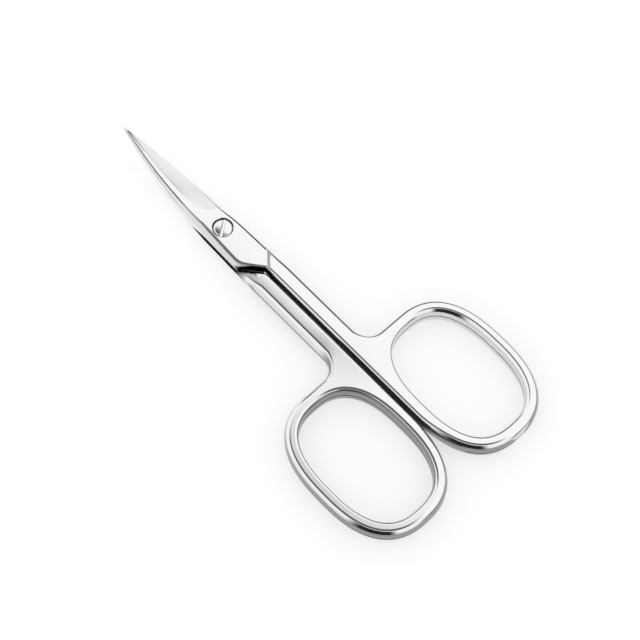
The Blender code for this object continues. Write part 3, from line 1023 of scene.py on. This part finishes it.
# How light the metal is, with 1 as white, and how rough. A smooth change has the numbers where it
# starts and ends. A tilt is how much of a face's normal points up or down, and walls are places
# along X from the pivot
POLISHED_LEVEL = 0.93
POLISHED_ROUGHNESS = (0.03, 0.07)
SMUDGE_SCALE = 260.0
SMUDGE_DETAIL = 4.0
SMUDGE_EDGE = (0.35, 0.7)

# Fine lines: how often they change per metre along and across, and how strong their bump is
LINE_RATES = (350.0, 6000.0, 6000.0)
LINE_DETAIL = 3.0
LINE_DEPTH = 0.01 * MM
POLISHED_LINES = 0.02
GROUND_LINES = 0.3

# Side walls of the handles, darkened by painted shade
SIDE_WALLS = (-10.0 * MM, -12.0 * MM)
SIDE_TILT = (0.64, 0.48)
SIDE_SHADE_LEVEL = 0.74

# Walls of the bows: rougher and darkened by painted shade, lighter by painted light in the upper
# half's finger hole
BOW_WALLS = (-28.5 * MM, -31.5 * MM)
BOW_WALL_TILT = (0.82, 0.5)
BOW_SHADE_LEVEL = 0.28
BOW_WALL_ROUGHNESS = 0.2
HOLE_PAINTED_LIGHT_LEVEL = 0.7

# Walls and undersides of the shanks, darkened by painted shade, by how much of the normal points up
UNDERSIDE_TILT = (0.3, 0.0)
UNDERSIDE_SHADE_LEVEL = 0.22

# The ground hollow
GROUND_LEVEL = 0.93
GROUND_ROUGHNESS = 0.34

# Painted shade, black: on the shade marks, and in gaps narrower than its reach. Satin takes a
# share of its mattness
PAINTED_SHADE_LEVEL = 0.005
MATT_ROUGHNESS = 0.6
MATT_IOR = 1.03
SATIN_SHARE = 0.85
CREASE_SHADE_REACH = 1.6 * MM
CREASE_SHADE_EDGE = (0.06, 0.24)
CREASE_SHADE_SAMPLES = 8


def add_node(tree, kind, **settings):
    node = tree.nodes.new(kind)
    for name, value in settings.items():
        setattr(node, name, value)
    return node


def set_input(tree, socket, value):
    """Gives an input a number, or links it to another node's output."""
    if isinstance(value, float):
        socket.default_value = value
    else:
        tree.links.new(value, socket)


def make_ramp(tree, source, low, high, first=0.0, last=1.0):
    """A smooth change from the first to the last value while the source goes from low to high."""
    node = add_node(tree, "ShaderNodeMapRange", interpolation_type="SMOOTHSTEP")
    node.inputs["From Min"].default_value = low
    node.inputs["From Max"].default_value = high
    node.inputs["To Min"].default_value = first
    node.inputs["To Max"].default_value = last
    tree.links.new(source, node.inputs["Value"])
    return node.outputs["Result"]


def make_math(tree, operation, *values):
    """A sum or comparison of values, each an output or a number."""
    node = add_node(tree, "ShaderNodeMath", operation=operation)
    for value, socket in zip(values, node.inputs):
        set_input(tree, socket, value)
    return node.outputs[0]


def make_blend(tree, first, second, share):
    """Goes from the first to the second value by a share, each an output or a number."""
    node = add_node(tree, "ShaderNodeMix", data_type="FLOAT")
    for value, name in ((first, "A"), (second, "B"), (share, "Factor")):
        set_input(tree, node.inputs[name], value)
    return node.outputs["Result"]


def make_noise(tree, place, scale, detail):
    node = add_node(tree, "ShaderNodeTexNoise")
    node.inputs["Scale"].default_value = scale
    node.inputs["Detail"].default_value = detail
    tree.links.new(place, node.inputs["Vector"])
    return node.outputs["Fac"]


def split_axes(tree, vector):
    node = add_node(tree, "ShaderNodeSeparateXYZ")
    tree.links.new(vector, node.inputs["Vector"])
    return node.outputs


def make_material(name):
    """A new material and its node tree."""
    material = bpy.data.materials.new(name)
    material.use_nodes = True
    return material, material.node_tree


def make_grinding_lines(tree, place, marks):
    """A bump of fine lines along X: strong in the ground hollow, faint elsewhere."""
    stretch = add_node(tree, "ShaderNodeMapping")
    stretch.inputs["Scale"].default_value = LINE_RATES
    tree.links.new(place.outputs["Object"], stretch.inputs["Vector"])
    lines = make_noise(tree, stretch.outputs["Vector"], 1.0, LINE_DETAIL)
    strength = make_blend(tree, POLISHED_LINES, GROUND_LINES, marks[GROUND])
    bump = add_node(tree, "ShaderNodeBump")
    bump.inputs["Distance"].default_value = LINE_DEPTH
    tree.links.new(strength, bump.inputs["Strength"])
    tree.links.new(lines, bump.inputs["Height"])
    return bump.outputs["Normal"]


def find_walls(tree, place):
    """Where the handles' side walls, the rougher bows' walls and the shanks' undersides take painted
    shade.
    """
    facing = split_axes(tree, place.outputs["Normal"])
    where = split_axes(tree, place.outputs["Object"])
    upright = make_math(tree, "ABSOLUTE", facing["Z"])
    handle = make_ramp(tree, where["X"], PIVOT.x + SIDE_WALLS[0], PIVOT.x + SIDE_WALLS[1])
    bow = make_ramp(tree, where["X"], PIVOT.x + BOW_WALLS[0], PIVOT.x + BOW_WALLS[1])
    shank = make_math(tree, "SUBTRACT", handle, bow)
    side, rough_shaded_bow = make_ramp(tree, upright, *SIDE_TILT), make_ramp(tree, upright, *BOW_WALL_TILT)
    shaded_under = make_ramp(tree, facing["Z"], *UNDERSIDE_TILT)
    return {
        "side": make_math(tree, "MULTIPLY", side, handle),
        "rough_shaded_bow": make_math(tree, "MULTIPLY", rough_shaded_bow, bow),
        "shaded_under": make_math(tree, "MULTIPLY", shaded_under, shank),
    }


def make_painted_shade(tree, marks):
    """The share of painted shade, from the shade marks and from how little open air a point has."""
    occlusion = add_node(tree, "ShaderNodeAmbientOcclusion", samples=CREASE_SHADE_SAMPLES)
    occlusion.inputs["Distance"].default_value = CREASE_SHADE_REACH
    unshaded = make_ramp(tree, occlusion.outputs["AO"], *CREASE_SHADE_EDGE)
    return make_math(tree, "MAXIMUM", marks[PAINTED_SHADE], make_math(tree, "SUBTRACT", 1.0, unshaded))


def make_level(tree, marks, walls, shade_share):
    """How light the metal is, with painted shade and painted light over its polish. Each lies over
    the ones before it.
    """
    # The bows' walls: painted shade, and painted light in the upper half's finger hole
    bow_shade_and_light_level = make_blend(tree, BOW_SHADE_LEVEL, HOLE_PAINTED_LIGHT_LEVEL, marks[HOLE_PAINTED_LIGHT])
    level = POLISHED_LEVEL
    for finish_and_painted_shade, share in (
        (SIDE_SHADE_LEVEL, walls["side"]),
        (bow_shade_and_light_level, walls["rough_shaded_bow"]),
        (UNDERSIDE_SHADE_LEVEL, walls["shaded_under"]),
        (GROUND_LEVEL, marks[GROUND]),
        (PAINTED_SHADE_LEVEL, shade_share),
    ):
        level = make_blend(tree, level, finish_and_painted_shade, share)
    return level


def make_roughness(tree, place, marks, walls, matt):
    """How rough the metal is. Each finish, and the mattness of painted shade, lies over the ones
    before it.
    """
    smudges = make_noise(tree, place.outputs["Object"], SMUDGE_SCALE, SMUDGE_DETAIL)
    roughness = make_ramp(tree, smudges, *SMUDGE_EDGE, *POLISHED_ROUGHNESS)
    for finish_and_painted_shade, share in (
        (BOW_WALL_ROUGHNESS, walls["rough_shaded_bow"]),
        (GROUND_ROUGHNESS, marks[GROUND]),
        (MATT_ROUGHNESS, matt),
    ):
        roughness = make_blend(tree, roughness, finish_and_painted_shade, share)
    return roughness


def make_steel(name):
    """Polished steel with faint smudges, a rougher finish on its bow walls and hollow, satin, and
    painted shade and painted light.
    """
    material, tree = make_material(name)
    link = tree.links.new
    place = add_node(tree, "ShaderNodeTexCoord")
    marks = {}
    for mark in MARKS:
        marks[mark] = add_node(tree, "ShaderNodeAttribute", attribute_name=mark).outputs["Fac"]
    walls = find_walls(tree, place)
    # Painted shade, black, on the marks and in the gaps; it and satin are matt
    shade_share = make_painted_shade(tree, marks)
    matt = make_math(tree, "MAXIMUM", shade_share, make_math(tree, "MULTIPLY", marks[SATIN], SATIN_SHARE))
    level = make_level(tree, marks, walls, shade_share)
    tone = add_node(tree, "ShaderNodeCombineColor")
    for socket in tone.inputs:
        link(level, socket)
    shader = tree.nodes["Principled BSDF"]
    shader.inputs["IOR"].default_value = MATT_IOR
    link(tone.outputs["Color"], shader.inputs["Base Color"])
    link(make_math(tree, "SUBTRACT", 1.0, matt), shader.inputs["Metallic"])
    link(make_roughness(tree, place, marks, walls, matt), shader.inputs["Roughness"])
    link(make_grinding_lines(tree, place, marks), shader.inputs["Normal"])
    return material


# Studio

WHITE = (1.0, 1.0, 1.0, 1.0)
FLOOR_SIZE = 4.0
FLOOR_COLOUR = (0.4, 0.4, 0.4, 1.0)
FLOOR_GLOW = 0.62

# The camera, placed from the pivot. Its lens and sensor are in millimetres
LENS = 88.84
SENSOR = 36.0
CLIP_START = 10.0 * MM
CAMERA_PLACE = Vector((-106.79, 75.78, 248.95)) * MM
CAMERA_TILT = math.radians(24.35)
CAMERA_TURN = math.radians(-132.89)

# The light tent that the steel reflects: its levels, with 1 as white, and where they change, as
# parts of the direction from the object. Its roof is white at the back and grey at the front, a
# black band runs round it under the roof, and a black cloth hangs on the viewer's side
TENT_RADIUS = 1.4
TENT_ROWS = 24
TENT_COLUMNS = 64
BACK_LEVEL = 1.0
FRONT_LEVEL = 0.12
FRONT_START = (-0.285, -0.08)
FRONT_END = (0.82, 0.87)
BAND_LEVEL = 0.04
BAND_TOP = (0.34, 0.46)
BAND_BOTTOM = (0.03, 0.1)
SKIRT_LEVEL = 0.95
CLOTH_LEVEL = 0.02
CLOTH_AZIMUTH = math.radians(124.0)
CLOTH_SIDE = (0.83, 0.95)
CLOTH_TOP = (0.74, 0.62)


def make_camera():
    camera = bpy.data.objects.new("camera", bpy.data.cameras.new("camera"))
    camera.data.sensor_width = SENSOR
    camera.data.lens = LENS
    camera.data.clip_start = CLIP_START
    camera.location = PIVOT + CAMERA_PLACE
    camera.rotation_euler = (CAMERA_TILT, 0.0, CAMERA_TURN)
    bpy.context.scene.collection.objects.link(camera)
    bpy.context.scene.camera = camera


def make_floor_paper():
    """Grey paper in the light, which glows where a camera or mirror sees it, so it shows white."""
    material, tree = make_material("floor_paper")
    shader = tree.nodes["Principled BSDF"]
    shader.inputs["Base Color"].default_value = FLOOR_COLOUR
    shader.inputs["Roughness"].default_value = 1.0
    shader.inputs["Specular IOR Level"].default_value = 0.0
    path = add_node(tree, "ShaderNodeLightPath")
    seen = make_math(tree, "MAXIMUM", path.outputs["Is Camera Ray"], path.outputs["Is Glossy Ray"])
    seen = make_math(tree, "MAXIMUM", seen, path.outputs["Is Transmission Ray"])
    glow = add_node(tree, "ShaderNodeEmission")
    glow.inputs["Color"].default_value = WHITE
    tree.links.new(make_math(tree, "MULTIPLY", seen, FLOOR_GLOW), glow.inputs["Strength"])
    both = add_node(tree, "ShaderNodeAddShader")
    tree.links.new(shader.outputs["BSDF"], both.inputs[0])
    tree.links.new(glow.outputs["Emission"], both.inputs[1])
    tree.links.new(both.outputs["Shader"], tree.nodes["Material Output"].inputs["Surface"])
    return material


def make_floor():
    shell = Shell()
    half = FLOOR_SIZE / 2
    corners = [(x * half, y * half, -PIVOT.z) for x, y in SQUARE]
    shell.faces.append(tuple(shell.ring(corners)))
    floor = shell.make("floor", NO_FLIP)
    floor.data.materials.append(make_floor_paper())


def make_tent_cloth():
    """Cloth that glows by its direction from the object."""
    material, tree = make_material("tent_cloth")
    place = add_node(tree, "ShaderNodeTexCoord")
    toward = add_node(tree, "ShaderNodeVectorMath", operation="NORMALIZE")
    tree.links.new(place.outputs["Object"], toward.inputs[0])
    axes = split_axes(tree, toward.outputs["Vector"])
    height = axes["Z"]
    back = make_blend(tree, BAND_LEVEL, BACK_LEVEL, make_ramp(tree, height, *BAND_TOP))
    back = make_blend(tree, SKIRT_LEVEL, back, make_ramp(tree, height, *BAND_BOTTOM))
    front = make_blend(tree, SKIRT_LEVEL, FRONT_LEVEL, make_ramp(tree, height, *FRONT_END))
    level = make_blend(tree, back, front, make_ramp(tree, axes["Y"], *FRONT_START))
    side = add_node(tree, "ShaderNodeVectorMath", operation="DOT_PRODUCT")
    side.inputs[1].default_value = (math.cos(CLOTH_AZIMUTH), math.sin(CLOTH_AZIMUTH), 0.0)
    tree.links.new(toward.outputs["Vector"], side.inputs[0])
    flat = make_math(tree, "SUBTRACT", 1.0, make_math(tree, "MULTIPLY", height, height))
    facing = make_math(tree, "DIVIDE", side.outputs["Value"], make_math(tree, "SQRT", flat))
    cloth = make_math(
        tree, "MULTIPLY",
        make_ramp(tree, facing, *CLOTH_SIDE), make_ramp(tree, height, *CLOTH_TOP),
    )
    level = make_blend(tree, level, CLOTH_LEVEL, cloth)
    glow = add_node(tree, "ShaderNodeEmission")
    tree.links.new(level, glow.inputs["Strength"])
    tree.links.new(glow.outputs["Emission"], tree.nodes["Material Output"].inputs["Surface"])
    return material


def make_tent():
    """A dome round the set that only reflections show."""
    shell = Shell()
    rings = []
    for row in range(TENT_ROWS):
        rise = math.radians(90.0) * row / TENT_ROWS
        ring = []
        for column in range(TENT_COLUMNS):
            turn = math.tau * column / TENT_COLUMNS
            ring.append((
                TENT_RADIUS * math.cos(rise) * math.cos(turn),
                TENT_RADIUS * math.cos(rise) * math.sin(turn),
                TENT_RADIUS * math.sin(rise) - PIVOT.z,
            ))
        rings.append(shell.ring(ring))
    shell.walls(rings)
    shell.fan(rings[-1], (0.0, 0.0, TENT_RADIUS - PIVOT.z))
    tent = shell.make("tent", NO_FLIP)
    tent.data.shade_smooth()
    tent.visible_camera = False
    tent.visible_diffuse = False
    tent.visible_shadow = False
    tent.data.materials.append(make_tent_cloth())


def make_world():
    """Plain white light from all round."""
    world = bpy.data.worlds.new("studio")
    bpy.context.scene.world = world
    world.use_nodes = True
    sky = world.node_tree.nodes["Background"]
    sky.inputs["Color"].default_value = WHITE
    sky.inputs["Strength"].default_value = 1.0


def build():
    make_camera()
    make_floor()
    make_tent()
    make_world()
    upper_hole, lower_hole = make_hole_cutters()
    upper = make_half("upper_half", UPPER_FLIP, upper_hole)
    lower = make_half("lower_half", LOWER_FLIP, lower_hole)
    screw = make_screw()
    for piece, node, body, slot in (
        (upper, "upper_half", "upper_half", "upper_half_steel"),
        (lower, "lower_half", "lower_half", "lower_half_steel"),
        (screw, "pivot_screw", "lower_half", "screw_steel"),
    ):
        piece.data.materials.append(make_steel(slot + "_finish"))
        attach(piece, body)
        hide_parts(node)


build()

bpy.context.scene.view_settings.view_transform = "Standard"
